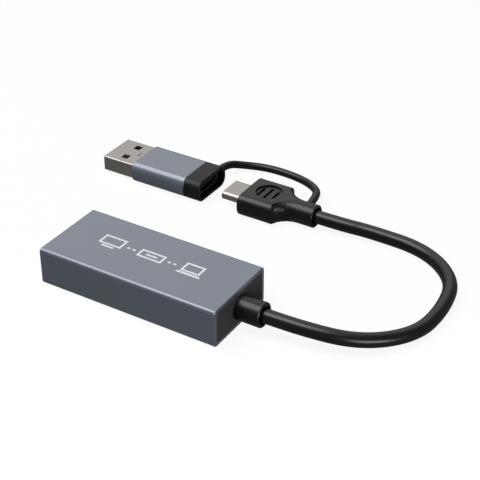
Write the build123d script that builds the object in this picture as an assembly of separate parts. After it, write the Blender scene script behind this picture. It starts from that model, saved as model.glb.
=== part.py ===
from build123d import *
import os
from math import asin, cos, pi, radians, sin, sqrt, tan

# A pocket box that turns a video signal into data for a computer. A short cable ends
# in a small reversible plug, and an adapter with a wide host plug slides onto it. A
# rubber tether holds the two together. Sizes are in millimetres.
# The origin is the middle of the box's underside. +X runs to the cable end, +Y to the
# two plugs, and +Z up. All of it lies on the plane z = 0.

# Fits between pieces
press_gap = 0.03
slip_gap = 0.10
tangent_gap = 0.02
overrun = 1.0

# Box: an extruded aluminium sleeve with a moulded cap pushed into each end
box_length = 51.0
box_width = 22.4
box_height = 10.2
box_wall = 1.0
box_corner = 1.0
bore_corner = 0.45
end_bevel = 0.12
cap_thick = 2.0
cap_bevel = 0.12
cap_tab_length = 2.4
cap_tab_width = 5.0
cap_tab_thick = 0.9

# Rails inside the sleeve that hold the main board by its long edges
board_thick = 1.0
ledge_reach = 1.0
rib_reach = 0.8
rib_thick = 0.7

# Video socket in the hidden end, with nineteen contacts in two rows
socket_width = 14.0
socket_height = 4.55
socket_slope_rise = 1.7
socket_slope_run = 1.7
socket_corner = 0.4
socket_wall = 0.3
socket_length = 11.4
socket_inset = 0.15
leg_width = 1.2
leg_proud = 0.3
leg_depths = (2.8, 9.4)
spring_depth = 1.6
spring_length = 4.6
spring_width = 1.6
spring_slot = 0.3
spring_dip = 0.35
tongue_width = 11.2
tongue_thick = 1.1
tongue_inset = 1.3
socket_block_thick = 1.6
socket_block_setback = 2.2
socket_contact_pitch = 1.0
socket_contact_width = 0.36
socket_contact_thick = 0.2
socket_contact_proud = 0.04
upper_contact_count = 10
upper_contact_drop = 1.3
lower_contact_count = 9
lower_contact_drop = 0.6
socket_foot_proud = 0.8

# Chips and small parts soldered to the main board. Their places are shares of the length
# between the socket's feet and the wires' pads, and of the board's width from its middle
lead_thick = 0.15
capture_size = 7.0
capture_height = 1.4
capture_lead_reach = 1.0
capture_lead_width = 0.22
capture_lead_pitch = 0.5
capture_lead_count = 12
capture_place_share = (0.34, 0)
memory_length = 4.9
memory_width = 3.9
memory_height = 1.6
memory_lead_reach = 1.0
memory_lead_width = 0.4
memory_lead_pitch = 1.27
memory_lead_count = 4
memory_place_share = (0.70, 0.26)
regulator_length = 2.9
regulator_width = 1.6
regulator_height = 1.1
regulator_lead_reach = 0.6
regulator_lead_width = 0.4
regulator_lead_pitch = 0.95
regulator_lead_count = 3
regulator_place_share = (0.66, -0.32)
crystal_length = 5.0
crystal_width = 3.2
crystal_height = 1.1
crystal_rim = 0.3
crystal_place_share = (0.70, -0.07)
inductor_size = 4.0
inductor_height = 2.2
inductor_corner = 0.8
inductor_well = 2.6
inductor_well_depth = 0.3
inductor_place_share = (0.86, -0.31)
capacitor_length = 1.6
capacitor_width = 0.8
capacitor_height = 0.8
capacitor_place_shares = [
    (0.06, 0.15), (0.06, -0.15), (0.20, 0.32), (0.35, 0.32), (0.50, 0.32),
    (0.20, -0.32), (0.35, -0.32), (0.50, -0.32), (0.93, 0.30), (0.93, 0.38),
]
resistor_length = 1.0
resistor_width = 0.5
resistor_height = 0.35
resistor_place_shares = [
    (0.22, 0.40), (0.30, 0.40), (0.38, 0.40), (0.22, -0.40), (0.30, -0.40),
    (0.38, -0.40), (0.93, 0.23), (0.93, 0.16),
]
terminal_share = 0.22
terminal_swell = 0.04

# Cable, its moulded boot on the box, and the ends that the box and the plug hold
cable_diameter = 3.7
cord_side_count = 12
cable_well_diameter = 4.9
cable_well_depth = 0.9
boot_diameter = 6.4
boot_reach = 6.8
boot_edge = 0.2
boot_neck_diameter = 5.2
boot_flange_diameter = 7.4
boot_flange_thick = 1.4
jacket_reach = 5.0
wire_diameter = 0.7
wire_ring_radius = 1.1
wire_ring_share = 0.25
wire_side_count = 8
wire_straight = 0.8
wire_slope = 2.5
wire_landing = 1.4
box_wire_pitch = 1.5
box_wire_shares = (2.5, 0.5, -1.5, -2.5, -0.5, 1.5)
plug_wire_pitch = 1.3
plug_wire_shares = ((1, 1), (0, 1), (-1, 1), (-1, -1), (0, -1), (1, -1))

# Line of the small plug and the adapter, which share one axis and one outline
grip_width = 14.0
grip_height = 6.3
grip_corner = 2.6
axis_y = 47.8

# Small reversible plug and its moulded grip
plug_front = -0.8
plug_exposed = 6.5
plug_hold = 3.3
plug_width = 8.25
plug_height = 2.4
plug_corner = 1.15
plug_wall = 0.25
plug_edge = 0.15
front_edge = 0.25
body_length = 10.2
scoop_length = 5.6
scoop_steps = 5
neck_length = 5.1
neck_edge = 0.2
pocket_width = 9.4
pocket_height = 3.4
pocket_corner = 1.0
pocket_front_wall = 1.2
pocket_back_wall = 0.8
jacket_setback = 1.8
thumb_diameter = 7.4
thumb_depth = 0.45
thumb_place = 6.2
thumb_slot_count = 3
thumb_slot_pitch = 2.2
thumb_slot_width = 0.85
thumb_slot_depth = 0.55
thumb_slot_front = 0.35
thumb_slot_back = 1.15
thumb_moon = 0.6

# Twelve contacts on each side, in the plug and in the receptacle that takes it
fine_count = 12
fine_pitch = 0.5
fine_width = 0.26
fine_thick = 0.12
small_board_thick = 0.8
slot_width = 6.8
slot_height = 0.8
slot_depth = 5.4
insert_inset = 0.3
plug_contact_inset = 0.9
plug_board_gap = 0.6
plug_board_length = 4.6
contact_landing = 1.2

receptacle_width = 8.34
receptacle_height = 2.56
receptacle_corner = 1.23
receptacle_wall = 0.25
receptacle_depth = 5.3
receptacle_block = 1.3
receptacle_tongue_width = 6.69
receptacle_tongue_thick = 0.7
receptacle_tongue_inset = 0.6
receptacle_step = 0.4

# Adapter: aluminium sleeve, moulded cap round the receptacle, wide host plug
adapter_gap = 12.1
adapter_cap_length = 5.05
adapter_sleeve_length = 17.5
adapter_wall = 0.8
adapter_front_wall = 3.0
adapter_bevel = 0.2
mouth_wall = 0.95
mouth_depth = 1.3
mouth_edge = 0.2
spigot_length = 2.0
adapter_board_gap = 0.6
adapter_resistor_place_shares = [(0.1, 0.15), (0.1, -0.15)]

host_width = 12.0
host_height = 4.5
host_corner = 0.5
host_wall = 0.3
host_exposed = 10.3
host_hold = 2.8
host_edge = 0.15
window_width = 2.1
window_length = 2.0
window_depth = 4.65
window_side = 2.97
seam_slit_depth = 8.35
seam_slit_length = 2.2
seam_slit_width = 0.3
host_insert_thick = 1.9
host_insert_inset = 0.7
host_block_length = 2.2
host_contact_thick = 0.2
host_contact_proud = 0.05
host_contact_width = 1.0
host_contact_inset = 1.3
host_contact_sides = (-3.5, -1.0, 1.0, 3.5)
rear_contact_width = 0.5
rear_contact_inset = 7.6
rear_contact_sides = (-4.75, -2.25, 0, 2.25, 4.75)
host_step = 0.5

# Rubber tether from the plug's neck to the adapter's cap, on their far sides
tether_diameter = 2.2
tether_root_diameter = 3.2
tether_root_length = 0.6
tether_neck_offset = 0.6

# Places that follow from the sizes above
socket_end = -box_length / 2
cable_end = box_length / 2
mid_height = box_height / 2
bore_width = box_width - 2 * box_wall
bore_height = box_height - 2 * box_wall
socket_mouth = socket_end + socket_inset
socket_block_end = socket_length - socket_block_setback
socket_block_start = socket_block_end - socket_block_thick
socket_foot_end = socket_length + socket_foot_proud
flange_back = cable_end - cap_thick - press_gap
board_top = mid_height - socket_height / 2 - socket_wall
board_bottom = board_top - board_thick
board_start = socket_end + cap_thick + slip_gap
board_end = flange_back - boot_flange_thick - slip_gap
board_width = bore_width - 2 * slip_gap
boot_end = cable_end + boot_reach
boot_floor = boot_end - cable_well_depth
axis_z = grip_height / 2
neck_diameter = grip_height
neck_corner = neck_diameter / 2 - tangent_gap
plug_tip = plug_front - plug_exposed
plug_shell_end = plug_front + plug_hold
plug_board_start = plug_shell_end + plug_board_gap
body_end = plug_front + body_length
pocket_end = body_end - pocket_back_wall
scoop_end = body_end + scoop_length
neck_end = scoop_end + neck_length
neck_floor = neck_end - cable_well_depth
adapter_end = plug_front - adapter_gap
cap_start = adapter_end - adapter_cap_length
sleeve_start = cap_start - adapter_sleeve_length
receptacle_mouth = adapter_end - mouth_depth
receptacle_front = receptacle_mouth - receptacle_depth
receptacle_back = receptacle_front - receptacle_block
host_tip = sleeve_start - host_exposed
host_shell_end = sleeve_start + host_hold
cavity_width = grip_width - 2 * adapter_wall
adapter_board_start = sleeve_start + adapter_front_wall + adapter_board_gap
adapter_board_end = receptacle_back - adapter_board_gap
tether_cap_x = (cap_start + adapter_end) / 2
tether_cap_y = axis_y + grip_width / 2 + tether_root_length
tether_neck_x = scoop_end + tether_neck_offset
tether_neck_y = axis_y + neck_diameter / 2 + tether_root_length

# Free cords, with first and last runs square to what the cord leaves and enters
cable_route = [
    (boot_floor, 0, mid_height),
    (41.5, 0, mid_height),
    (54.8, 4.7, 3.2),
    (63.0, 16.6, 1.9),
    (65.5, 28.9, 1.9),
    (62.3, 40.6, 1.9),
    (50.8, 49.4, 1.9),
    (35.3, 49.7, 2.2),
    (27.3, axis_y, axis_z),
    (neck_floor, axis_y, axis_z),
]
tether_route = [
    (tether_neck_x, tether_neck_y, axis_z),
    (tether_neck_x, 56.0, axis_z),
    (11.8, 61.9, 1.7),
    (5.6, 65.3, 1.15),
    (-0.6, 66.9, 1.15),
    (-6.8, 66.6, 1.15),
    (-12.6, 64.4, 1.6),
    (tether_cap_x, 59.7, axis_z),
    (tether_cap_x, tether_cap_y, axis_z),
]


# Basic shapes

def across(x, y=0, z=0):
    return Plane(origin=(x, y, z), x_dir=(0, 1, 0), z_dir=(1, 0, 0))


def prism(outline, start, end, y=0, z=0):
    return extrude(across(start, y, z) * outline, amount=end - start)


def rod(start, end, diameter, y, z):
    return prism(Circle(diameter / 2), start, end, y, z)


def rounded(width, height, corner, grow=0):
    return RectangleRounded(width + 2 * grow, height + 2 * grow, corner + grow)


def span(middle, width):
    return middle - width / 2, middle + width / 2


def block(x, y, z):
    sides = [high - low for low, high in (x, y, z)]
    middle = [(high + low) / 2 for low, high in (x, y, z)]
    return Pos(*middle) * Box(*sides)


def patch(y, z):
    return Pos(sum(y) / 2, sum(z) / 2) * Rectangle(y[1] - y[0], z[1] - z[0])


def turned(profile, y, z):
    lathe = Plane(origin=(0, y, z), x_dir=(1, 0, 0), z_dir=(0, -1, 0))
    return revolve(lathe * Polygon(*profile, align=None), axis=Axis((0, y, z), (1, 0, 0)))


def row(count, pitch):
    return [(i - (count - 1) / 2) * pitch for i in range(count)]


# A strip of sheet metal that follows a path in X and Z, bent with mitred corners
def strip(path, thick, width, y=0, z=0):
    last = len(path) - 1
    points = [Vector(*point) for point in path]
    upper, lower = [], []
    for i, point in enumerate(points):
        before = (points[max(i, 1)] - points[max(i, 1) - 1]).normalized()
        after = (points[min(i, last - 1) + 1] - points[min(i, last - 1)]).normalized()
        normal = Vector(-before.Y - after.Y, before.X + after.X) / (1 + before.dot(after))
        upper.append(point + normal * thick / 2)
        lower.append(point - normal * thick / 2)
    corners = [(corner.X, corner.Y) for corner in upper + lower[::-1]]
    side = Plane(origin=(0, y, z), x_dir=(1, 0, 0), z_dir=(0, -1, 0))
    return extrude(side * Polygon(*corners, align=None), amount=width / 2, both=True)


# The largest arc at a corner that the shorter of its two runs leaves room for
def corner_radius(before, corner, after):
    run_share = 0.45
    arriving, leaving = Vector(*corner) - Vector(*before), Vector(*after) - Vector(*corner)
    half_turn = radians(arriving.get_angle(leaving)) / 2
    return run_share * min(arriving.length, leaving.length) / tan(half_turn)


def corner_radii(route):
    return [corner_radius(*route[i - 1:i + 2]) for i in range(1, len(route) - 1)]


def tube(route, diameter):
    path = FilletPolyline(*route, radius=corner_radii(route))
    section = RegularPolygon(diameter / 2, cord_side_count)
    return sweep(Plane(origin=path @ 0, z_dir=path % 0) * section, path=path)


def free_cord(name, route, diameter):
    cord = tube(route, diameter)
    length = FilletPolyline(*route, radius=corner_radii(route)).length
    section = RegularPolygon(diameter / 2, cord_side_count).area
    print(name, "radii", [round(radius, 1) for radius in corner_radii(route)])
    print(name, "length", round(length, 2), "volume against section times length",
          round(cord.volume / (length * section), 4))
    return cord


# Box

# Outline of the sleeve's bore between its rails
def railed_bore():
    side, floor = bore_width / 2, -bore_height / 2
    rib_low = board_top - mid_height + slip_gap
    ledge = (floor - overrun, board_bottom - mid_height)
    rib = (rib_low, rib_low + rib_thick)
    outline = rounded(bore_width, bore_height, bore_corner)
    for reach, height in ((ledge_reach, ledge), (rib_reach, rib)):
        outline -= patch((side - reach, side + overrun), height)
        outline -= patch((-side - overrun, -side + reach), height)
    return outline


# The rails are milled away at both ends, where the caps go in
def housing_sleeve():
    body = prism(rounded(box_width, box_height, box_corner), socket_end, cable_end,
                 z=mid_height)
    ends = body.faces().sort_by(Axis.X)
    body = chamfer(ends[0].edges() + ends[-1].edges(), end_bevel)
    body -= prism(railed_bore(), socket_end - overrun, cable_end + overrun, z=mid_height)
    depth = cap_thick + press_gap
    for start, end in ((socket_end - overrun, socket_end + depth),
                       (cable_end - depth, cable_end + overrun)):
        body -= prism(rounded(bore_width, bore_height, bore_corner), start, end, z=mid_height)
    return body


# A plate across the bore, and two tabs under the sleeve's roof that keep it square
def end_cap(outer, inner):
    start, end = sorted((outer, inner))
    plate = prism(rounded(bore_width, bore_height, bore_corner, -press_gap), start, end,
                  z=mid_height)
    outer_face = plate.faces().filter_by(Axis.X).sort_by_distance((outer, 0, mid_height))[0]
    cap = chamfer(outer_face.edges(), cap_bevel)
    reach = inner + cap_tab_length * (1 if inner > outer else -1)
    top = box_height - box_wall - press_gap
    for side in (-1, 1):
        cap += block(sorted((inner, reach)), span(side * bore_width / 4, cap_tab_width),
                     (top - cap_tab_thick, top))
    return cap


def socket_end_cap():
    cap = end_cap(socket_end, socket_end + cap_thick)
    opening = socket_outline(socket_wall + press_gap)
    return cap - prism(opening, socket_end - overrun, socket_end + cap_thick + overrun,
                       z=mid_height)


def cable_end_cap():
    cap = end_cap(cable_end, cable_end - cap_thick)
    hole = boot_neck_diameter + 2 * press_gap
    return cap - rod(cable_end - cap_thick - overrun, cable_end + overrun, hole, 0, mid_height)


def main_board():
    board = block((board_start, board_end), span(0, board_width), (board_bottom, board_top))
    for x, y in leg_places():
        board -= block(span(x, leg_width + 2 * slip_gap), span(y, socket_wall + 2 * slip_gap),
                       (board_bottom - overrun, board_top + overrun))
    return board


# Video socket

# Its opening is narrower below, with slanted lower corners
def socket_outline(grow=0):
    side, top = socket_width / 2, socket_height / 2
    knee, toe = socket_slope_rise - top, side - socket_slope_run
    outline = Polygon((-side, top), (-side, knee), (-toe, -top), (toe, -top), (side, knee),
                      (side, top), align=None)
    outline = fillet(outline.vertices(), socket_corner)
    return offset(outline, amount=grow) if grow else outline


def leg_places():
    y = (socket_width + socket_wall) / 2
    return [(socket_mouth + depth, side * y) for depth in leg_depths for side in (-1, 1)]


# Two springs cut from the roof dip inwards to grip the plug
def roof_springs():
    start, end = socket_mouth + spring_depth, socket_mouth + spring_depth + spring_length
    roof = mid_height + (socket_height + socket_wall) / 2
    path = [(start - spring_slot, 0), (start, 0), ((start + end) / 2, -spring_dip),
            (end - spring_slot, -spring_dip / 2)]
    cuts, springs = [], []
    for y in row(2, socket_width / 2):
        cuts.append(block((start, end), span(y, spring_width + 2 * spring_slot),
                          span(roof, 2 * socket_wall)))
        springs.append(strip(path, socket_wall, spring_width, y, roof))
    return cuts, springs


def video_socket_shell():
    end = socket_mouth + socket_length
    shell = prism(socket_outline(socket_wall), socket_mouth, end, z=mid_height)
    shell -= prism(socket_outline(), socket_mouth - overrun, end - socket_wall, z=mid_height)
    tail_way = socket_width - 2 * socket_slope_run
    shell -= block((socket_mouth + socket_block_end, end + overrun), span(0, tail_way),
                   (board_top - overrun, mid_height))
    cuts, springs = roof_springs()
    shell = shell - cuts + springs
    for x, y in leg_places():
        shell += block(span(x, leg_width), span(y, socket_wall),
                       (board_bottom - leg_proud, mid_height))
    return shell


# Side, place across and drop of each contact: upper row +1, lower row -1
def socket_contact_places():
    upper = [(1, y, upper_contact_drop) for y in row(upper_contact_count, socket_contact_pitch)]
    lower = [(-1, y, lower_contact_drop) for y in row(lower_contact_count, socket_contact_pitch)]
    return upper + lower


def socket_contact_level(side):
    return side * (tongue_thick / 2 + socket_contact_proud - socket_contact_thick / 2)


def video_socket_insulator():
    insulator = prism(socket_outline(-press_gap), socket_mouth + socket_block_start,
                      socket_mouth + socket_block_end, z=mid_height)
    insulator += block((socket_mouth + tongue_inset, socket_mouth + socket_block_end),
                       span(0, tongue_width), span(mid_height, tongue_thick))
    for side, y, drop in socket_contact_places():
        insulator -= block((socket_mouth, socket_mouth + socket_length),
                           span(y, socket_contact_width + 2 * press_gap),
                           span(mid_height + socket_contact_level(side),
                                socket_contact_thick + 2 * press_gap))
    return insulator


def video_socket_contacts():
    foot = board_top - mid_height + socket_contact_thick / 2
    contacts = []
    for side, y, drop in socket_contact_places():
        level = socket_contact_level(side)
        knee = socket_mouth + socket_block_end + drop
        path = [(socket_mouth + tongue_inset + slip_gap, level), (knee, level), (knee, foot),
                (socket_mouth + socket_foot_end, foot)]
        contacts.append(strip(path, socket_contact_thick, socket_contact_width, y, mid_height))
    return Compound(contacts)


# Parts on the main board

def board_place(share):
    feet_end = socket_mouth + socket_foot_end
    pads_start = cable_end - jacket_reach - wire_straight - wire_slope - wire_landing
    x = feet_end + share[0] * (pads_start - feet_end)
    return Pos(x, share[1] * board_width, board_top)


# Bent leads along the +X side of a chip that stands on z = 0
def side_leads(half, reach, height, width, places):
    path = [(half - lead_thick, height / 2), (half + reach / 3, height / 2),
            (half + reach / 2, lead_thick / 2), (half + reach, lead_thick / 2)]
    return [strip(path, lead_thick, width, y) for y in places]


def chip_body(length, width, height):
    body = block(span(0, length), span(0, width), (lead_thick / 2, height))
    return chamfer(body.edges().group_by(Axis.Z)[-1], lead_thick)


def capture_chip():
    leads = side_leads(capture_size / 2, capture_lead_reach, capture_height,
                       capture_lead_width, row(capture_lead_count, capture_lead_pitch))
    around = [Rot(0, 0, turn) * lead for turn in (0, 90, 180, 270) for lead in leads]
    chip = chip_body(capture_size, capture_size, capture_height) + around
    return board_place(capture_place_share) * chip


def memory_chip():
    leads = side_leads(memory_width / 2, memory_lead_reach, memory_height,
                       memory_lead_width, row(memory_lead_count, memory_lead_pitch))
    both = [Rot(0, 0, turn) * lead for turn in (90, 270) for lead in leads]
    chip = chip_body(memory_length, memory_width, memory_height) + both
    return board_place(memory_place_share) * chip


# Three leads on one side and two on the other
def voltage_regulator():
    places = row(regulator_lead_count, regulator_lead_pitch)
    sizes = (regulator_width / 2, regulator_lead_reach, regulator_height, regulator_lead_width)
    leads = [Rot(0, 0, 90) * lead for lead in side_leads(*sizes, places)]
    leads += [Rot(0, 0, 270) * lead for lead in side_leads(*sizes, places[::2])]
    chip = chip_body(regulator_length, regulator_width, regulator_height) + leads
    return board_place(regulator_place_share) * chip


def clock_crystal():
    base = block(span(0, crystal_length), span(0, crystal_width), (0, crystal_rim))
    can = block(span(0, crystal_length - crystal_rim), span(0, crystal_width - crystal_rim),
                (0, crystal_height))
    can = fillet(can.edges().filter_by(Axis.Z), crystal_rim)
    return board_place(crystal_place_share) * (base + can)


def power_inductor():
    core = block(span(0, inductor_size), span(0, inductor_size), (0, inductor_height))
    core = chamfer(core.edges().filter_by(Axis.Z), inductor_corner)
    well = Pos(0, 0, inductor_height) * Cylinder(inductor_well / 2, 2 * inductor_well_depth)
    return board_place(inductor_place_share) * (core - well)


# A small body with a swollen metal terminal at each end
def two_terminal_part(length, width, height):
    body = block(span(0, length - 2 * terminal_swell), span(0, width - 2 * terminal_swell),
                 (terminal_swell, height - terminal_swell))
    terminal = length * terminal_share
    for low in (-length / 2, length / 2 - terminal):
        body += block((low, low + terminal), span(0, width), (0, height))
    return body


def board_capacitors():
    part = two_terminal_part(capacitor_length, capacitor_width, capacitor_height)
    return Compound([board_place(share) * part for share in capacitor_place_shares])


def board_resistors():
    part = two_terminal_part(resistor_length, resistor_width, resistor_height)
    return Compound([board_place(share) * part for share in resistor_place_shares])


# Cable ends

def strain_relief_boot():
    bore = cable_diameter / 2 + press_gap
    flange, neck, outer = boot_flange_diameter / 2, boot_neck_diameter / 2, boot_diameter / 2
    flange_front = flange_back - boot_flange_thick
    boot = turned([(flange_front, bore), (flange_front, flange), (flange_back, flange),
                   (flange_back, neck), (cable_end + press_gap, neck),
                   (cable_end + press_gap, outer), (boot_end, outer),
                   (boot_end, cable_well_diameter / 2), (boot_floor, cable_well_diameter / 2),
                   (boot_floor, bore)], 0, mid_height)
    end_circles = boot.edges().filter_by(GeomType.CIRCLE).group_by(Axis.X)[-1]
    return chamfer(end_circles.sort_by(SortBy.RADIUS)[-1], boot_edge)


def cable_end_in_box():
    return rod(cable_end - jacket_reach, boot_floor, cable_diameter, 0, mid_height)


def wire(route):
    path = Polyline(*route)
    section = RegularPolygon(wire_diameter / 2, wire_side_count)
    return sweep(Plane(origin=path @ 0, z_dir=path % 0) * section, path=path,
                 transition=Transition.RIGHT)


# Six wires leave the jacket in a ring, spread, and land on a board
def wire_bundle(start, y, z, landings):
    wires = []
    for i, (side, up) in enumerate(landings):
        turn = 2 * pi * (i + wire_ring_share) / len(landings)
        ring = (y + wire_ring_radius * cos(turn), z + wire_ring_radius * sin(turn))
        pad = (y + side, z + up)
        bend = start - wire_straight
        route = [(start, *ring), (bend, *ring), (bend - wire_slope, *pad),
                 (bend - wire_slope - wire_landing, *pad)]
        wires.append(wire(route))
    return Compound(wires)


def box_wires():
    up = board_top + wire_diameter / 2 + press_gap - mid_height
    landings = [(share * box_wire_pitch, up) for share in box_wire_shares]
    return wire_bundle(cable_end - jacket_reach, 0, mid_height, landings)


def plug_wires():
    up = (small_board_thick + wire_diameter) / 2 + press_gap
    landings = [(side * plug_wire_pitch, face * up) for side, face in plug_wire_shares]
    return wire_bundle(body_end + jacket_setback, axis_y, axis_z, landings)


def main_cable():
    return free_cord("main_cable", cable_route, cable_diameter)


def tether():
    return free_cord("tether", tether_route, tether_diameter)


# A tapered root that a moulded piece holds out to the tether
def tether_root(x, end_y):
    root = Plane(origin=(x, end_y, axis_z), x_dir=(1, 0, 0), z_dir=(0, -1, 0))
    return loft([root * Circle(tether_diameter / 2),
                 root.offset(2 * tether_root_length) * Circle(tether_root_diameter / 2)])


# Small plug

# From the body's crisp edge a hollow arc draws the sides in to the neck, which is round
# but for four very short flats, so that its outline has as many sides as the body's
def scoop():
    drop = (grip_width - neck_diameter) / 2
    radius = (scoop_length ** 2 + drop ** 2) / (2 * drop)
    full_turn = asin(scoop_length / radius)
    sections = []
    for i in range(scoop_steps + 1):
        rest = 1 - i / scoop_steps
        turn = full_turn * rest
        width = neck_diameter + 2 * radius * (1 - cos(turn))
        corner = neck_corner + (grip_corner - neck_corner) * rest
        sections.append(across(scoop_end - radius * sin(turn), axis_y, axis_z)
                        * RectangleRounded(width, grip_height, corner))
    return loft(sections, ruled=True)


# A round recess. Three slots in its floor run out into a deep crescent at its near side
def thumb_recess():
    radius = thumb_diameter / 2
    floor = Plane(origin=(plug_front + thumb_place, axis_y, grip_height - thumb_depth))
    recess = extrude(floor * Circle(radius), amount=thumb_depth + overrun)
    deep = Circle(radius) - Pos(0, thumb_moon) * Circle(radius)
    for x in row(thumb_slot_count, thumb_slot_pitch):
        chord = sqrt(radius ** 2 - x ** 2)
        low, high = thumb_slot_front - chord, chord - thumb_slot_back
        deep += (Pos(x, (low + high) / 2) * Rot(0, 0, 90)
                 * SlotOverall(high - low, thumb_slot_width))
    return recess + extrude(floor.offset(-thumb_slot_depth) * deep,
                            amount=thumb_slot_depth + thumb_depth)


def plug_overmould():
    body = prism(rounded(grip_width, grip_height, grip_corner), plug_front, body_end,
                 axis_y, axis_z)
    body = chamfer(body.faces().sort_by(Axis.X)[0].edges(), front_edge)
    neck = prism(rounded(neck_diameter, neck_diameter, neck_corner), scoop_end, neck_end,
                 axis_y, axis_z)
    neck = chamfer(neck.faces().sort_by(Axis.X)[-1].edges(), neck_edge)
    grip = body + scoop() + neck + tether_root(tether_neck_x, tether_neck_y)
    grip -= prism(rounded(pocket_width, pocket_height, pocket_corner),
                  plug_front + pocket_front_wall, pocket_end, axis_y, axis_z)
    grip -= prism(rounded(plug_width, plug_height, plug_corner, press_gap),
                  plug_front - overrun, plug_front + pocket_front_wall, axis_y, axis_z)
    grip -= rod(pocket_end - press_gap, neck_end, cable_diameter + 2 * press_gap, axis_y, axis_z)
    grip -= rod(neck_floor, neck_end + overrun, cable_well_diameter, axis_y, axis_z)
    return grip - thumb_recess()


def cable_end_in_plug():
    return rod(body_end + jacket_setback, neck_floor, cable_diameter, axis_y, axis_z)


def plug_shell():
    shell = prism(rounded(plug_width, plug_height, plug_corner), plug_tip, plug_shell_end,
                  axis_y, axis_z)
    shell = chamfer(shell.faces().sort_by(Axis.X)[0].edges(), plug_edge)
    inside = rounded(plug_width, plug_height, plug_corner, -plug_wall)
    return shell - prism(inside, plug_tip - overrun, plug_shell_end + overrun, axis_y, axis_z)


# Channels that let a row of contacts lie in an insulator
def channels(sides, width, start, end, low, high):
    return [block((start, end), span(axis_y + side, width + 2 * press_gap), (low, high))
            for side in sides]


def plug_insulator():
    inside = rounded(plug_width, plug_height, plug_corner, -plug_wall - press_gap)
    insulator = prism(inside, plug_tip + insert_inset, plug_shell_end, axis_y, axis_z)
    insulator -= block((plug_tip, plug_tip + slot_depth), span(axis_y, slot_width),
                       span(axis_z, slot_height))
    reach = slot_height / 2 + fine_thick + press_gap
    return insulator - channels(row(fine_count, fine_pitch), fine_width,
                                plug_tip + plug_contact_inset - press_gap,
                                plug_shell_end + overrun, axis_z - reach, axis_z + reach)


def plug_contacts():
    level = (slot_height + fine_thick) / 2
    path = [(plug_tip + plug_contact_inset, 0), (plug_board_start + contact_landing, 0)]
    return Compound([strip(path, fine_thick, fine_width, axis_y + side, axis_z + face * level)
                     for side in row(fine_count, fine_pitch) for face in (-1, 1)])


def plug_board():
    return block((plug_board_start, plug_board_start + plug_board_length),
                 span(axis_y, pocket_width - 4 * slip_gap), span(axis_z, small_board_thick))


# Adapter

def adapter_sleeve():
    body = prism(rounded(grip_width, grip_height, grip_corner), sleeve_start, cap_start,
                 axis_y, axis_z)
    ends = body.faces().sort_by(Axis.X)
    body = chamfer(ends[0].edges() + ends[-1].edges(), adapter_bevel)
    body -= prism(rounded(grip_width, grip_height, grip_corner, -adapter_wall),
                  sleeve_start + adapter_front_wall, cap_start + overrun, axis_y, axis_z)
    return body - prism(rounded(host_width, host_height, host_corner, press_gap),
                        sleeve_start - overrun, sleeve_start + adapter_front_wall + overrun,
                        axis_y, axis_z)


def adapter_cap():
    body = prism(rounded(grip_width, grip_height, grip_corner), cap_start + press_gap,
                 adapter_end, axis_y, axis_z)
    body = chamfer(body.faces().sort_by(Axis.X)[-1].edges(), mouth_edge)
    body += prism(rounded(grip_width, grip_height, grip_corner, -adapter_wall - press_gap),
                  cap_start - spigot_length, cap_start + overrun, axis_y, axis_z)
    body += tether_root(tether_cap_x, tether_cap_y)
    body -= prism(rounded(grip_width, grip_height, grip_corner, -mouth_wall),
                  receptacle_mouth, adapter_end + overrun, axis_y, axis_z)
    return body - prism(rounded(receptacle_width, receptacle_height, receptacle_corner,
                                receptacle_wall + press_gap),
                        cap_start - spigot_length - overrun, adapter_end, axis_y, axis_z)


def receptacle_shell():
    shell = prism(rounded(receptacle_width, receptacle_height, receptacle_corner,
                          receptacle_wall), receptacle_back, receptacle_mouth, axis_y, axis_z)
    return shell - prism(rounded(receptacle_width, receptacle_height, receptacle_corner),
                         receptacle_back - overrun, receptacle_mouth + overrun, axis_y, axis_z)


def receptacle_contact_level():
    return (receptacle_tongue_thick - fine_thick) / 2


def receptacle_insulator():
    insulator = prism(rounded(receptacle_width, receptacle_height, receptacle_corner,
                              -press_gap), receptacle_back, receptacle_front, axis_y, axis_z)
    insulator += block((receptacle_back, receptacle_mouth - receptacle_tongue_inset),
                       span(axis_y, receptacle_tongue_width),
                       span(axis_z, receptacle_tongue_thick))
    half = fine_thick / 2 + press_gap
    for face in (-1, 1):
        level = axis_z + face * receptacle_contact_level()
        insulator -= channels(row(fine_count, fine_pitch), fine_width,
                              receptacle_back - overrun,
                              receptacle_mouth - 2 * receptacle_tongue_inset + press_gap,
                              level - half, level + half)
    return insulator


def receptacle_contacts():
    level = receptacle_contact_level()
    board_level = (small_board_thick + fine_thick) / 2
    back = receptacle_back - slip_gap
    contacts = []
    for face in (-1, 1):
        path = [(adapter_board_end - contact_landing, face * board_level),
                (back - receptacle_step, face * board_level), (back, face * level),
                (receptacle_mouth - 2 * receptacle_tongue_inset, face * level)]
        contacts += [strip(path, fine_thick, fine_width, axis_y + side, axis_z)
                     for side in row(fine_count, fine_pitch)]
    return Compound(contacts)


def adapter_board():
    return block((adapter_board_start, adapter_board_end),
                 span(axis_y, cavity_width - 2 * slip_gap), span(axis_z, small_board_thick))


def adapter_resistors():
    part = two_terminal_part(resistor_length, resistor_width, resistor_height)
    middle = (adapter_board_start + adapter_board_end) / 2
    length = adapter_board_end - adapter_board_start
    return Compound([Pos(middle + share[0] * length, axis_y + share[1] * cavity_width,
                         axis_z + small_board_thick / 2) * part
                     for share in adapter_resistor_place_shares])


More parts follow.
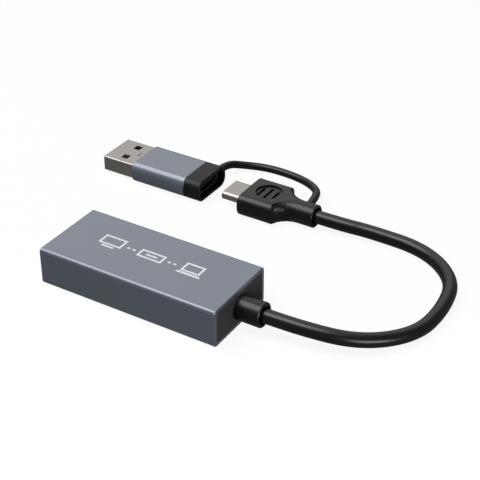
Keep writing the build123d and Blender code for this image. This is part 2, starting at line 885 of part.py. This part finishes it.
# Host plug: a folded shell with two catch windows above and below and a seam slit
def host_plug_shell():
    shell = prism(rounded(host_width, host_height, host_corner), host_tip, host_shell_end,
                  axis_y, axis_z)
    shell = chamfer(shell.faces().sort_by(Axis.X)[0].edges(), host_edge)
    shell -= prism(rounded(host_width, host_height, host_corner, -host_wall),
                   host_tip - overrun, host_shell_end + overrun, axis_y, axis_z)
    for side in (-1, 1):
        shell -= block((host_tip + window_depth, host_tip + window_depth + window_length),
                       span(axis_y + side * window_side, window_width),
                       span(axis_z, host_height + overrun))
    return shell - block(span(host_tip + seam_slit_depth, seam_slit_width),
                         span(axis_y, seam_slit_length), (axis_z, axis_z + host_height))


# Height above the plug's axis of the insulator's upper face, where the contacts lie
def host_insert_top():
    return host_wall + press_gap + host_insert_thick - host_height / 2


def host_contact_level():
    return host_insert_top() + host_contact_proud - host_contact_thick / 2


# Width, distance behind the tip and places of the four long and five short contacts
def host_contact_rows():
    return ((host_contact_width, host_contact_inset, host_contact_sides),
            (rear_contact_width, rear_contact_inset, rear_contact_sides))


def host_plug_insulator():
    inside = rounded(host_width, host_height, host_corner, -host_wall - press_gap)
    insulator = prism(inside, host_tip + host_insert_inset, host_shell_end, axis_y, axis_z)
    top = axis_z + host_insert_top()
    insulator -= block((host_tip, host_shell_end - host_block_length),
                       span(axis_y, host_width), (top, top + host_height))
    half = host_contact_thick / 2 + press_gap
    level = axis_z + host_contact_level()
    for width, inset, sides in host_contact_rows():
        insulator -= channels(sides, width, host_tip + inset - press_gap,
                              host_shell_end + overrun, level - half, level + half)
    return insulator


def host_plug_contacts():
    level = host_contact_level()
    board_level = (small_board_thick + host_contact_thick) / 2
    bend = host_shell_end + slip_gap
    contacts = []
    for width, inset, sides in host_contact_rows():
        path = [(host_tip + inset, level), (bend, level), (bend + host_step, board_level),
                (adapter_board_start + contact_landing, board_level)]
        contacts += [strip(path, host_contact_thick, width, axis_y + side, axis_z)
                     for side in sides]
    return Compound(contacts)


pieces = [
    housing_sleeve, socket_end_cap, cable_end_cap, main_board,
    video_socket_shell, video_socket_insulator, video_socket_contacts,
    capture_chip, memory_chip, voltage_regulator, clock_crystal, power_inductor,
    board_capacitors, board_resistors,
    strain_relief_boot, cable_end_in_box, box_wires, main_cable,
    plug_overmould, plug_shell, plug_insulator, plug_contacts, plug_board,
    plug_wires, cable_end_in_plug, tether,
    adapter_sleeve, adapter_cap, adapter_board, adapter_resistors,
    receptacle_shell, receptacle_insulator, receptacle_contacts,
    host_plug_shell, host_plug_insulator, host_plug_contacts,
]

os.makedirs("parts", exist_ok=True)
for piece in pieces:
    export_step(piece(), f"parts/{piece.__name__}.step")
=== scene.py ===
# %% [markdown]
# # A video capture box on its cable
# The object is a small aluminium box that takes a picture signal in at one end. A short
# cable leaves the other end and carries a small oval plug, and a wider adapter hangs from
# that plug by a rubber tether. The hard pieces come ready-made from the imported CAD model,
# so they already have their true shapes and places. What this file adds is everything
# that makes them look real: the two cords, the finishes, the light, the floor and the
# camera. Everything is in metres.

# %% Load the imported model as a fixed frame
from math import cos, pi, radians, sin

import bpy
from mathutils import Matrix, Vector


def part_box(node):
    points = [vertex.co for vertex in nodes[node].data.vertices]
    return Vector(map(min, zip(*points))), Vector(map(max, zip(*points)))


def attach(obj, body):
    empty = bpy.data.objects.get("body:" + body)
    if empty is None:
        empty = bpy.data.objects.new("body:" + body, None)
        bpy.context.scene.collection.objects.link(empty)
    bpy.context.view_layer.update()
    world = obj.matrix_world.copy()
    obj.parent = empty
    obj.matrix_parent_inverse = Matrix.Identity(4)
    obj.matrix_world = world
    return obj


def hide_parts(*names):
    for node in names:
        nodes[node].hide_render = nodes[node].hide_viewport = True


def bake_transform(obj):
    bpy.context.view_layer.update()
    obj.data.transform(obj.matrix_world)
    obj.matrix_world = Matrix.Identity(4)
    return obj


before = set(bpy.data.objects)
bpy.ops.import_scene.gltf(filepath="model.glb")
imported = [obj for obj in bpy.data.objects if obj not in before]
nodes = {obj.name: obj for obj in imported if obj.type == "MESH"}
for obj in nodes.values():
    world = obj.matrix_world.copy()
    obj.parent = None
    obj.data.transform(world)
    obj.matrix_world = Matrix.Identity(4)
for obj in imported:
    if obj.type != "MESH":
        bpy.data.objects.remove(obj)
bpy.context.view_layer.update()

# %% [markdown]
# ## The camera
# The photograph looks down on the box from the front and a little to the right. A camera
# can be aimed by hand, but here its place is known from the corners of the box, so it is
# written as a turn around the object, a tilt, a distance and a small shift sideways and
# up. The long lens keeps the edges of the box nearly parallel, as in the photograph.

# %% Place the camera
view_turn = radians(31.56)
view_tilt = radians(32.79)
view_distance = 0.31011
view_aside = 0.02175
view_above = 0.01281
long_lens = 94.05

right = Vector((cos(view_turn), sin(view_turn), 0))
back = Vector((sin(view_turn) * cos(view_tilt), -cos(view_turn) * cos(view_tilt), sin(view_tilt)))
up = back.cross(right)
camera_place = back * view_distance + right * view_aside + up * view_above

camera_data = bpy.data.cameras.new("photo_camera")
camera_data.lens = long_lens
camera_data.clip_start = 0.01
camera = bpy.data.objects.new("photo_camera", camera_data)
aimed = Matrix((right, up, back)).transposed().to_4x4()
camera.matrix_world = Matrix.Translation(camera_place) @ aimed
bpy.context.scene.collection.objects.link(camera)
bpy.context.scene.camera = camera
print("camera at", [round(c, 4) for c in camera_place])

# %% [markdown]
# ## Cords
# A cord is a tube round a smooth line. The line comes from a curve whose control points
# pull it towards themselves, so a few points make a long bend with no kinks, and Blender
# turns that curve into closely spaced points when it is read as a mesh. The tube is then
# a ring of corners round each of those points. Each ring takes its direction from the
# one before, with no spin, so the tube doesn't twist. A bevelled curve would draw the
# same tube, but only a mesh could bend if a joint moved, and here no joint moves.

# %% Read a smooth line through control points
def smooth_line(points):
    data = bpy.data.curves.new("cord_line", "CURVE")
    data.dimensions = "3D"
    data.resolution_u = 20
    spline = data.splines.new("NURBS")
    spline.points.add(len(points) - 1)
    for control, point in zip(spline.points, points):
        control.co = (*point, 1)
    spline.order_u = 3
    spline.use_endpoint_u = True
    curve = bpy.data.objects.new("cord_line", data)
    mesh = bpy.data.meshes.new_from_object(curve)
    line = [vertex.co.copy() for vertex in mesh.vertices]
    bpy.data.objects.remove(curve)
    return line

# %% Wrap a line in a round tube
def round_tube(name, line, diameter, sides=24):
    corners, faces = [], []
    aside = (line[1] - line[0]).orthogonal().normalized()
    for i, point in enumerate(line):
        ahead = (line[min(i + 1, len(line) - 1)] - line[max(i - 1, 0)]).normalized()
        aside = (aside - ahead * aside.dot(ahead)).normalized()
        across = ahead.cross(aside)
        for k in range(sides):
            turn = radians(360 * k / sides)
            corners.append(point + diameter / 2 * (cos(turn) * aside + sin(turn) * across))
    for i in range(len(line) - 1):
        for k in range(sides):
            a, b = i * sides + k, i * sides + (k + 1) % sides
            faces.append((a, b, b + sides, a + sides))
    faces.append(tuple(reversed(range(sides))))
    faces.append(tuple(range(len(corners) - sides, len(corners))))
    mesh = bpy.data.meshes.new(name)
    mesh.from_pydata(corners, [], faces)
    mesh.shade_smooth()
    piece = bpy.data.objects.new(name, mesh)
    bpy.context.scene.collection.objects.link(piece)
    print(name, "rings", len(line), "faces", len(faces))
    return piece

# %% [markdown]
# ## The main cable
# The real cable is a round plastic jacket 3.7 mm thick. It leaves the boot in the box,
# comes down to the table, lies there in one wide bend and rises again into the small
# plug. The first two points lie on the axis of the boot and the last two on the axis of
# the plug, so the cable goes in straight at both ends.

# %% Make the main cable
cable_diameter = 0.0037
cable_points = [
    (0.0314, 0, 0.0051), (0.0415, 0, 0.0051), (0.0552, 0.0047, 0.0032),
    (0.0642, 0.0160, 0.0019), (0.0652, 0.0289, 0.0019), (0.0625, 0.0410, 0.0019),
    (0.0511, 0.0498, 0.0019), (0.0353, 0.0500, 0.0022), (0.0273, 0.0478, 0.00315),
    (0.0192, 0.0478, 0.00315),
]
cable_line = smooth_line(cable_points)
flexible_cable = round_tube("flexible_cable", cable_line, cable_diameter)
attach(flexible_cable, "capture_box")
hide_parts("main_cable")

# %% [markdown]
# ## The tether
# The tether is a thin cord of soft rubber, moulded into the neck of the plug at one end
# and into the adapter's mouth at the other, so that the adapter isn't lost. When the
# adapter slides onto the plug, one end of the tether goes with it and the rest bends. Here
# its mesh stays where it is made and is tied to neither body.

# %% Make the tether
tether_diameter = 0.0022
tether_points = [
    (0.0156, 0.05155, 0.00315), (0.0151, 0.0566, 0.00315), (0.0122, 0.0625, 0.0017),
    (0.0062, 0.0660, 0.00115), (-0.0006, 0.06688, 0.00115), (-0.0068, 0.0666, 0.00115),
    (-0.0122, 0.0640, 0.0016), (-0.015425, 0.0597, 0.00315), (-0.015425, 0.0554, 0.00315),
]
tether_line = smooth_line(tether_points)
rubber_tether = round_tube("rubber_tether", tether_line, tether_diameter)
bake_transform(rubber_tether)
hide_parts("tether")

# %% [markdown]
# ## Colours and nodes
# A colour picked from a screen is written as six hex digits, but light adds up in linear
# values, so one function turns one into the other. A second small function adds a shader
# node, sets its values and links it. A finish starts from the general surface shader,
# with plain numbers set straight on that shader's own sockets.

# %% Turn a screen colour into linear light
def linear(code):
    parts = [int(code[i:i + 2], 16) / 255 for i in (0, 2, 4)]
    return [p / 12.92 if p <= 0.04045 else ((p + 0.055) / 1.055) ** 2.4 for p in parts] + [1]

# %% Add one node with its settings and links
def add_node(tree, kind, settings=None, links=None):
    node = tree.nodes.new("ShaderNode" + kind)
    for name, value in (settings or {}).items():
        if isinstance(name, int) or name in node.inputs:
            node.inputs[name].default_value = value
        else:
            setattr(node, name, value)
    for name, source in (links or {}).items():
        tree.links.new(source, node.inputs[name])
    return node

# %% Start a finish from the general surface shader
def start_finish(name, colour, settings=None):
    finish = bpy.data.materials.new(name)
    finish.use_nodes = True
    shader = finish.node_tree.nodes["Principled BSDF"]
    shader.inputs["Base Color"].default_value = linear(colour)
    for socket, value in (settings or {}).items():
        shader.inputs[socket].default_value = value
    return finish, finish.node_tree, shader

# %% [markdown]
# ## Grain from real sizes
# Moulded plastic, blasted metal and rubber all have a fine grain that breaks up their
# shine. A noise texture on the object's own coordinates, in metres, moves with the piece
# and needs no unwrapping. Its scale is one over the size of a grain, so a 0.2 mm grain is
# a scale of 5000. The same noise lifts the surface a few thousandths of a millimetre in
# a bump node, and moves the roughness, which blurs the shine, between a low and a high
# value. Most of the noise lies between 0.3 and 0.7, so that range is spread over both.

# %% Give a finish its grain
def add_grain(tree, shader, grain, depth, roughness):
    place = add_node(tree, "TexCoord").outputs["Object"]
    noise = add_node(tree, "TexNoise", {"Scale": 1 / grain, "Detail": 3, "Roughness": 0.6},
                     {"Vector": place}).outputs["Fac"]
    bump = add_node(tree, "Bump", {"Strength": 1, "Distance": depth}, {"Height": noise})
    tree.links.new(bump.outputs["Normal"], shader.inputs["Normal"])
    uneven = add_node(tree, "MapRange", {"From Min": 0.3, "From Max": 0.7,
                                         "To Min": roughness[0], "To Max": roughness[1]},
                      {"Value": noise})
    tree.links.new(uneven.outputs["Result"], shader.inputs["Roughness"])
    return place

# %% Vary a finish's colour in soft patches, by the mixer's numbered colour sockets
def add_patches(tree, shader, place, size, colours):
    noise = add_node(tree, "TexNoise", {"Scale": 1 / size, "Detail": 2}, {"Vector": place})
    first, second, mixed = 6, 7, 2
    mix = add_node(tree, "Mix", {"data_type": "RGBA", first: linear(colours[0]),
                                 second: linear(colours[1])}, {0: noise.outputs["Fac"]})
    tree.links.new(mix.outputs[mixed], shader.inputs["Base Color"])

# %% [markdown]
# ## Anodised aluminium
# Both sleeves are pressed through a die, blasted with fine beads and anodised a cool
# grey. The rough metal and the dyed foot of its oxide skin make a dull, bluish base that
# is only partly metallic. The clear top of the skin is a coat over that base. A clear coat
# reflects white light without a tint, so the highlights come out neutral, and its index
# of refraction is the oxide's, 1.75. The bead marks are about 0.05 mm wide, drawn here at
# 0.16 mm so that they show.

# %% Make the anodised aluminium
anodised_aluminium, tree, shader = start_finish(
    "anodised_aluminium", "666e7e", {"Metallic": 0.3, "Coat Weight": 1, "Coat Roughness": 0.36,
                                     "Coat IOR": 1.75})
place = add_grain(tree, shader, grain=0.00016, depth=0.000002, roughness=(0.34, 0.42))
add_patches(tree, shader, place, size=0.012, colours=("636b7b", "6a7282"))
print(anodised_aluminium.name, "ready")

# %% [markdown]
# ## Moulded black plastics
# The end caps of the box are a hard charcoal plastic, moulded against a spark-eroded steel
# tool that leaves a dull, even grain about 0.1 mm across. The adapter's mouth is the same
# kind of plastic in black, from a smoother tool. The grip of the plug and the boot are
# softer and smoother still, so their rounded edges carry a wider, brighter shine.

# %% Make the moulded black plastics
hard_black_plastic, tree, shader = start_finish(
    "moulded_hard_plastic", "111111", {"IOR": 1.5, "Specular IOR Level": 0.32})
place = add_grain(tree, shader, grain=0.00014, depth=0.000004, roughness=(0.38, 0.48))
add_patches(tree, shader, place, size=0.006, colours=("0f0f0f", "131313"))

charcoal_plastic, tree, shader = start_finish(
    "moulded_charcoal_plastic", "444243", {"IOR": 1.5, "Specular IOR Level": 0.3})
place = add_grain(tree, shader, grain=0.00014, depth=0.000006, roughness=(0.5, 0.62))
add_patches(tree, shader, place, size=0.006, colours=("424041", "474546"))

soft_black_plastic, tree, shader = start_finish(
    "moulded_soft_plastic", "0b0b0b", {"IOR": 1.5, "Specular IOR Level": 0.45})
place = add_grain(tree, shader, grain=0.00012, depth=0.000003, roughness=(0.3, 0.38))
add_patches(tree, shader, place, size=0.005, colours=("060606", "0a0a0a"))
print(hard_black_plastic.name, charcoal_plastic.name, soft_black_plastic.name, "ready")

# %% [markdown]
# ## Cable jacket and tether rubber
# The jacket is a soft plastic pulled through a round die, so it is smooth along its
# length with a faint sheen. The tether is moulded rubber, a little duller.

# %% Make the jacket and the rubber
cable_jacket, tree, shader = start_finish(
    "extruded_cable_jacket", "080808", {"IOR": 1.5, "Specular IOR Level": 0.5})
place = add_grain(tree, shader, grain=0.00018, depth=0.000002, roughness=(0.27, 0.34))
add_patches(tree, shader, place, size=0.008, colours=("050505", "090909"))

moulded_rubber, tree, shader = start_finish(
    "moulded_rubber", "080808", {"IOR": 1.5, "Specular IOR Level": 0.45})
place = add_grain(tree, shader, grain=0.00012, depth=0.000002, roughness=(0.3, 0.38))
add_patches(tree, shader, place, size=0.004, colours=("060606", "0a0a0a"))
print(cable_jacket.name, moulded_rubber.name, "ready")

# %% [markdown]
# ## Plated metals
# The connectors' shells are steel, folded or drawn and then plated with nickel, which is
# slightly warm and has a satin grain from tumbling. The contacts are brass with a thin
# layer of gold. A metal takes its colour from its reflections, so both are fully metallic
# and keep the default index of refraction.

# %% Make the plated metals
nickel_plated_steel, tree, shader = start_finish(
    "nickel_plated_steel", "aaa6a1", {"Metallic": 1})
place = add_grain(tree, shader, grain=0.0003, depth=0.0000008, roughness=(0.34, 0.42))
add_patches(tree, shader, place, size=0.004, colours=("a5a19c", "b0aca7"))

gold_plated_brass, tree, shader = start_finish(
    "gold_plated_brass", "d8b25a", {"Metallic": 1})
place = add_grain(tree, shader, grain=0.0002, depth=0.000001, roughness=(0.2, 0.32))
add_patches(tree, shader, place, size=0.002, colours=("d2aa52", "deba66"))
print(nickel_plated_steel.name, gold_plated_brass.name, "ready")

# %% [markdown]
# ## Inserts inside the connectors
# The wide plug's insert is a glass-filled plastic dyed blue, and the other inserts are
# the same plastic in black. Both are dull, with a mottled flow of fibres.

# %% Make the connector inserts
blue_insert, tree, shader = start_finish("glass_filled_blue_plastic", "2a4fb4", {"IOR": 1.55})
place = add_grain(tree, shader, grain=0.0002, depth=0.000004, roughness=(0.42, 0.55))
add_patches(tree, shader, place, size=0.001, colours=("264aac", "2f56bc"))

black_insert, tree, shader = start_finish("glass_filled_black_plastic", "1b1b1c", {"IOR": 1.55})
place = add_grain(tree, shader, grain=0.0002, depth=0.000004, roughness=(0.42, 0.55))
add_patches(tree, shader, place, size=0.001, colours=("181819", "202021"))
print(blue_insert.name, black_insert.name, "ready")

# %% [markdown]
# ## What sits on the circuit boards
# The boards are woven glass and resin under a green lacquer, and the chips are black
# moulded resin. Small parts are ferrite and glazed ceramic. Legs and terminals are copper
# dipped in tin, so that solder wets them, and each wire of the cable has a colour of its
# own. All of it is hidden when the box is shut and seen when someone opens it.

# %% Make the finishes of the inner parts
lacquered_board, tree, shader = start_finish("lacquered_circuit_board", "14503a", {"IOR": 1.5})
place = add_grain(tree, shader, grain=0.0005, depth=0.000008, roughness=(0.25, 0.38))
add_patches(tree, shader, place, size=0.0012, colours=("0f4430", "1b6248"))

chip_resin, tree, shader = start_finish("moulded_chip_resin", "1e1e20", {"IOR": 1.55})
place = add_grain(tree, shader, grain=0.00015, depth=0.000005, roughness=(0.5, 0.62))
add_patches(tree, shader, place, size=0.002, colours=("1b1b1d", "232325"))

pressed_ferrite, tree, shader = start_finish("pressed_ferrite", "3a3937", {"IOR": 1.8})
place = add_grain(tree, shader, grain=0.00025, depth=0.00001, roughness=(0.55, 0.7))
add_patches(tree, shader, place, size=0.001, colours=("343331", "42413e"))

glazed_ceramic, tree, shader = start_finish("glazed_ceramic", "9a8467", {"IOR": 1.6})
place = add_grain(tree, shader, grain=0.0002, depth=0.000003, roughness=(0.3, 0.42))
add_patches(tree, shader, place, size=0.0008, colours=("8e7859", "a69074"))

tinned_copper, tree, shader = start_finish("tinned_copper", "c4c4bf", {"Metallic": 1})
place = add_grain(tree, shader, grain=0.0002, depth=0.000002, roughness=(0.26, 0.4))
add_patches(tree, shader, place, size=0.001, colours=("bdbdb8", "cbcbc7"))

# %% Make one finish for each colour of wire
wire_colours = {"red": ("b0382f", "ba4238"), "black": ("161617", "1d1d1f"),
                "white": ("cfccc3", "d8d5cd"), "green": ("2f7a41", "378549"),
                "blue": ("2c559c", "345fa8"), "yellow": ("cba438", "d4ae42")}
wire_finishes = []
for name, (colour, other) in wire_colours.items():
    finish, tree, shader = start_finish(name + "_wire_insulation", colour, {"IOR": 1.5})
    place = add_grain(tree, shader, grain=0.0002, depth=0.000002, roughness=(0.35, 0.45))
    add_patches(tree, shader, place, size=0.0015, colours=(colour, other))
    wire_finishes.append(finish)
print("wire colours", list(wire_colours))

# %% [markdown]
# ## Which piece has which finish
# The CAD pieces arrive with one plain colour each. Their meshes stay as they are, and
# only the material in each slot is swapped. Faces that meet at a low angle are shaded as
# one round surface, and steeper ones keep a crisp edge, as a machined or moulded piece
# would.

# %% Dress every piece
sharp_edge = radians(32)
finishes = {
    anodised_aluminium: ["housing_sleeve", "adapter_sleeve"],
    charcoal_plastic: ["cable_end_cap", "socket_end_cap"],
    hard_black_plastic: ["adapter_cap"],
    soft_black_plastic: ["strain_relief_boot", "plug_overmould"],
    cable_jacket: ["main_cable", "cable_end_in_box", "cable_end_in_plug"],
    moulded_rubber: ["tether"],
    nickel_plated_steel: ["video_socket_shell", "plug_shell", "receptacle_shell",
                          "host_plug_shell", "clock_crystal"],
    gold_plated_brass: ["video_socket_contacts", "plug_contacts", "receptacle_contacts",
                        "host_plug_contacts"],
    blue_insert: ["host_plug_insulator"],
    black_insert: ["video_socket_insulator", "plug_insulator", "receptacle_insulator"],
    lacquered_board: ["main_board", "plug_board", "adapter_board"],
    chip_resin: ["capture_chip", "memory_chip", "voltage_regulator"],
    pressed_ferrite: ["power_inductor"],
    glazed_ceramic: ["board_capacitors", "board_resistors", "adapter_resistors"],
    wire_finishes[0]: ["box_wires", "plug_wires"],
}
for finish, names in finishes.items():
    for name in names:
        mesh = nodes[name].data
        mesh.materials.clear()
        mesh.materials.append(finish)
        mesh.shade_smooth()
        mesh.set_sharp_from_angle(angle=sharp_edge)
flexible_cable.data.materials.append(cable_jacket)
rubber_tether.data.materials.append(moulded_rubber)
print("undressed nodes", sorted(set(nodes) - {n for names in finishes.values() for n in names}))

# %% [markdown]
# ## Legs, terminals and single wires
# A chip with its legs is one mesh, and so are all the wires of a cable, so a second finish
# goes on face by face. A face belongs to a leg when its middle lies further out than half
# the chip's resin body, in metres from the chip's own middle. For small parts and wires,
# the faces that share corners are first gathered into loose parts. Only the choice of
# material changes, never a corner of the mesh.

# %% Tin the legs of the chips
def tin_faces(mesh, faces):
    mesh.materials.append(tinned_copper)
    for face in faces:
        face.material_index = len(mesh.materials) - 1

far_off = 1
body_halves = {"capture_chip": (0.00351, 0.00351), "memory_chip": (far_off, 0.00196),
               "voltage_regulator": (far_off, 0.00081)}
for name, (half_x, half_y) in body_halves.items():
    mesh = nodes[name].data
    low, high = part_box(name)
    middle = (low + high) / 2
    legs = [face for face in mesh.polygons
            if abs(face.center.x - middle.x) > half_x or abs(face.center.y - middle.y) > half_y]
    tin_faces(mesh, legs)
    print(name, "leg faces", len(legs))

# %% Gather the faces that share corners
def loose_parts(mesh):
    spots = [vertex.co.to_tuple(6) for vertex in mesh.vertices]
    joined = {spot: spot for spot in spots}

    def root(spot):
        while joined[spot] != spot:
            spot = joined[spot]
        return spot

    for face in mesh.polygons:
        for index in face.vertices:
            joined[root(spots[index])] = root(spots[face.vertices[0]])
    parts = {}
    for face in mesh.polygons:
        parts.setdefault(root(spots[face.vertices[0]]), []).append(face)
    return list(parts.values())

# %% Tin both ends of the small parts and colour each wire
end_share = 0.23
for name in ("board_capacitors", "board_resistors", "adapter_resistors"):
    mesh = nodes[name].data
    ends = []
    for part in loose_parts(mesh):
        corners = [mesh.vertices[index].co for face in part for index in face.vertices]
        spans = [(min(c[i] for c in corners), max(c[i] for c in corners)) for i in (0, 1)]
        axis = max((0, 1), key=lambda i: spans[i][1] - spans[i][0])
        low, high = spans[axis]
        body_half = (0.5 - end_share) * (high - low)
        ends += [face for face in part if abs(face.center[axis] - (low + high) / 2) > body_half]
    tin_faces(mesh, ends)
    print(name, "parts", len(loose_parts(mesh)), "end faces", len(ends))

for name in ("box_wires", "plug_wires"):
    mesh = nodes[name].data
    for finish in wire_finishes[1:]:
        mesh.materials.append(finish)
    wires = loose_parts(mesh)
    for i, wire in enumerate(wires):
        for face in wire:
            face.material_index = i % len(wire_finishes)
    print(name, "wires", len(wires))

# %% [markdown]
# ## The printed sign
# The top of the box carries a line of white print. A generic sign stands there: a screen,
# a small box and a folding computer, joined by dots. Screen printing lays a thin, flat
# film of ink, drawn here two hundredths of a millimetre thick. A flat curve fills the
# space between one outline and the next inside it, which gives clean frames, and it is
# then kept as a mesh. Places and sizes are in millimetres from the sign's own middle.

# %% Outlines for the sign
def outline(data, points):
    spline = data.splines.new("POLY")
    spline.points.add(len(points) - 1)
    for control, (x, y) in zip(spline.points, points):
        control.co = (x / 1000, y / 1000, 0, 1)
    spline.use_cyclic_u = True

def rectangle(data, x, y, width, height):
    half_width, half_height = width / 2, height / 2
    outline(data, [(x - half_width, y - half_height), (x + half_width, y - half_height),
                   (x + half_width, y + half_height), (x - half_width, y + half_height)])

def frame_of(data, x, y, width, height, line):
    rectangle(data, x, y, width, height)
    rectangle(data, x, y, width - 2 * line, height - 2 * line)

# %% Draw the outlines of the sign
ink_line = 0.6
half_film = 0.00001
icon_offset = 11.8
dot_places = (5.2, 6.8)
dot_width = 0.9
outlines = bpy.data.curves.new("sign_outlines", "CURVE")
outlines.dimensions = "2D"
outlines.fill_mode = "BOTH"
outlines.extrude = half_film

frame_of(outlines, -icon_offset, 0.5, 6.6, 3.8, ink_line)
rectangle(outlines, -icon_offset, -2.1, 3.6, ink_line)
for x in reversed(dot_places):
    rectangle(outlines, -x, 0, dot_width, ink_line)
frame_of(outlines, 0, 0, 7.2, 3.2, ink_line)
rectangle(outlines, 0, 0, 3.2, ink_line)
for x in dot_places:
    rectangle(outlines, x, 0, dot_width, ink_line)
frame_of(outlines, icon_offset, 0.6, 5.4, 3.6, ink_line)
front_half, back_half, front_edge, back_edge = 3.6, 2.9, -2.3, -1.5
outline(outlines, [(icon_offset - front_half, front_edge), (icon_offset + front_half, front_edge),
                   (icon_offset + back_half, back_edge), (icon_offset - back_half, back_edge)])

# %% Print the sign on the box
flat_outlines = bpy.data.objects.new("sign_outlines", outlines)
sign_mesh = bpy.data.meshes.new_from_object(flat_outlines)
printed_sign = bpy.data.objects.new("printed_sign", sign_mesh)
box_low, box_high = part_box("housing_sleeve")
bpy.data.objects.remove(flat_outlines)
bpy.context.scene.collection.objects.link(printed_sign)
printed_sign.location = (-0.0001, 0.0006, box_high.z + half_film)
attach(printed_sign, "capture_box")

print_ink, tree, shader = start_finish("screen_printed_ink", "f4f5f8", {"IOR": 1.5})
add_grain(tree, shader, grain=0.0002, depth=0.000002, roughness=(0.45, 0.6))
printed_sign.data.materials.append(print_ink)
print("sign on top of the box at height", round(box_high.z, 5))

# %% [markdown]
# ## Floor and background
# The photograph's background is plain white. A floor bright enough to be white would
# throw light up the dark sides of the box, so it has two faces. The camera sees white
# paper, most of which glows by itself and a little of which is lit, so the shadow stays.
# The shine of metal and plastic sees the same paper with less glow, so that dark plastic
# stays dark. All other light meets a dark grey table.

# %% Lay the floor, a hair below the object
floor_drop = 0.00002
floor_data = bpy.data.meshes.new("floor")
floor_data.from_pydata([(-1, -1, 0), (1, -1, 0), (1, 1, 0), (-1, 1, 0)], [], [(0, 1, 2, 3)])
floor = bpy.data.objects.new("floor", floor_data)
floor.location.z = -floor_drop
bpy.context.scene.collection.objects.link(floor)

# %% Tell the rays of the camera and of the shine from all other light
def seen_directly(tree):
    path = add_node(tree, "LightPath").outputs
    shine = add_node(tree, "Math", {"operation": "MAXIMUM"},
                     {0: path["Is Glossy Ray"], 1: path["Is Transmission Ray"]}).outputs[0]
    either = add_node(tree, "Math", {"operation": "MAXIMUM"},
                      {0: path["Is Camera Ray"], 1: shine}).outputs[0]
    return path["Is Camera Ray"], either

# %% Make the paper and the table under it
glow_in_shine, glow_to_camera = 0.1, 0.9
paper_grey = [0.12, 0.12, 0.12, 1]
table_grey = [0.14, 0.14, 0.14, 1]

paper = bpy.data.materials.new("white_paper")
paper.use_nodes = True
tree = paper.node_tree
tree.nodes.clear()
by_camera, by_camera_or_shine = seen_directly(tree)
glow_level = add_node(tree, "MapRange", {"To Min": glow_in_shine, "To Max": glow_to_camera},
                      {"Value": by_camera})
glow = add_node(tree, "Emission", {"Color": linear("ffffff")},
                {"Strength": glow_level.outputs["Result"]})
lit = add_node(tree, "BsdfDiffuse", {"Color": paper_grey})
table = add_node(tree, "BsdfDiffuse", {"Color": table_grey})
white = add_node(tree, "AddShader", {}, {0: glow.outputs[0], 1: lit.outputs[0]})
floor_shader = add_node(tree, "MixShader", {},
                        {0: by_camera_or_shine, 1: table.outputs[0], 2: white.outputs[0]})
add_node(tree, "OutputMaterial", {}, {"Surface": floor_shader.outputs[0]})
floor_data.materials.append(paper)
print("floor ready, glow", glow_to_camera)

# %% [markdown]
# ## The room behind the floor
# The camera sees the room as pure white. For light that falls on the object it is nearly
# dark, so that the lamps alone shape the faces. The shine sees one large white board, high
# up behind the object and to the left, that fades into a dimmer room. The board is drawn
# by direction: the dot product of a ray and the board's own direction is one in its middle
# and gets smaller to every side. It lights the tops of the metal and leaves the right side
# of the cable dark, as in the photograph.

# %% Set the world behind it
board_direction = (-0.42, 0.55, 0.72)
board_rim, board_middle = 0.7, 0.94
dim_room = 0.2
room_light = 0.08

world = bpy.data.worlds.new("white_room")
world.use_nodes = True
bpy.context.scene.world = world
tree = world.node_tree
tree.nodes.clear()
by_camera, by_camera_or_shine = seen_directly(tree)
toward_board = add_node(tree, "VectorMath", {"operation": "DOT_PRODUCT", 1: board_direction},
                        {0: add_node(tree, "TexCoord").outputs["Generated"]})
board = add_node(tree, "MapRange", {"From Min": board_rim, "From Max": board_middle,
                                    "To Min": dim_room},
                 {"Value": toward_board.outputs["Value"]})
paper_level = add_node(tree, "Math", {"operation": "MAXIMUM"},
                       {0: by_camera, 1: board.outputs["Result"]})
level = add_node(tree, "MapRange", {"To Min": room_light},
                 {"Value": by_camera_or_shine, "To Max": paper_level.outputs[0]})
room = add_node(tree, "Background", {"Color": linear("ffffff")},
                {"Strength": level.outputs["Result"]})
add_node(tree, "OutputWorld", {}, {"Surface": room.outputs[0]})
print("world ready, board toward", board_direction)

# %% [markdown]
# ## Studio light
# A wide soft box hangs nearly overhead, a little to the front and left. It lights every
# top face evenly and lets the sides fall into shade, and its own reflection draws the
# bright line along each rounded edge. A small card close by, at the front right, lifts the
# low side of the cable and the end of the box out of the dark. A white surface that faces
# a lamp comes out white when the lamp's power is the square of pi times its distance.

# %% Hang a lamp that faces the middle of the object
object_middle = Vector((0.005, 0.025, 0))

def hang_lamp(name, direction, distance, level, length, width):
    direction = Vector(direction).normalized()
    across = direction.cross((1, 0, 0)).normalized()
    along = across.cross(direction)
    data = bpy.data.lights.new(name, "AREA")
    data.shape = "RECTANGLE"
    data.size, data.size_y = length, width
    data.energy = level * (pi * distance) ** 2
    lamp = bpy.data.objects.new(name, data)
    turned = Matrix((along, across, direction)).transposed().to_4x4()
    lamp.matrix_world = Matrix.Translation(object_middle + direction * distance) @ turned
    bpy.context.scene.collection.objects.link(lamp)

# %% Hang the soft box and the card
hang_lamp("soft_box", direction=(-0.28, -0.24, 0.9), distance=0.9, level=0.9,
          length=0.85, width=0.6)
hang_lamp("right_card", direction=(0.9, -0.5, 0.1), distance=0.2, level=0.35,
          length=0.1, width=0.06)

# %% [markdown]
# ## Close
# Blender doesn't change the object's size. The colours are shown with the standard view,
# and the scene is brought up to date.

# %% Set the standard view and update the scene
bpy.context.scene.view_settings.view_transform = "Standard"
bpy.context.view_layer.update()
